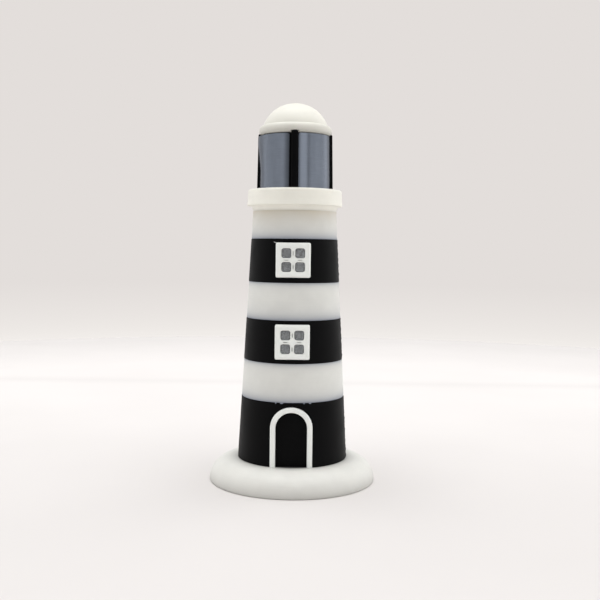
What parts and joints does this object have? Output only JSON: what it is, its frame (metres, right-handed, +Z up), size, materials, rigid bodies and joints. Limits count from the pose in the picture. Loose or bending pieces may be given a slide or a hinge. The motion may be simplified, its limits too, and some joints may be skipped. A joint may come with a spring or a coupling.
{
  "type": "souvenir lighthouse",
  "caption": "Free-standing souvenir lighthouse: round base, tapering banded tower with door and windows, gallery ring, glazed lantern and a domed roof that lifts off.",
  "frame": {"origin": "centre of the base's underside, on the surface that the lighthouse stands on", "axes": "+Z up the tower's axis to the top of the dome; the door and windows face -Y; +X is to the right seen from the door side"},
  "size_m": [0.044, 0.044, 0.1],
  "materials": {
    "cream_plastic": "warm white printed plastic, matte, fine layer lines",
    "white_plastic": "white printed plastic, matte, slightly translucent, fine layer lines",
    "black_plastic": "black printed plastic, satin to matte, fine layer lines",
    "trim_plastic": "white printed plastic, printed flat, smooth front with rounded rims",
    "grey_plastic": "grey printed plastic, grainy diagonal top surface",
    "smoke_film": "smoke-grey glossy film, faintly mirror-like"
  },
  "bodies": {
    "tower": {"base_disc": "cream_plastic", "door_band": "black_plastic", "door_leaf": "black_plastic", "door_arch": "trim_plastic", "lower_white_section": "white_plastic", "middle_band": "black_plastic", "lower_window_glazing": "grey_plastic", "lower_window_frame": "trim_plastic", "upper_white_section": "white_plastic", "upper_band": "black_plastic", "upper_window_glazing": "grey_plastic", "upper_window_frame": "trim_plastic", "neck": "white_plastic", "gallery_ring": "cream_plastic", "lantern_core": "black_plastic", "lantern_pane_front_right": "smoke_film", "lantern_pane_rear_right": "smoke_film", "lantern_pane_rear_left": "smoke_film", "lantern_pane_front_left": "smoke_film"},
    "roof": {"roof": "cream_plastic"}
  },
  "joints": [
    {"name": "roof_lift", "type": "slide", "parent": "tower", "child": "roof", "axis": [0, 0, 1], "range_m": [0, 0.012]}
  ]
}
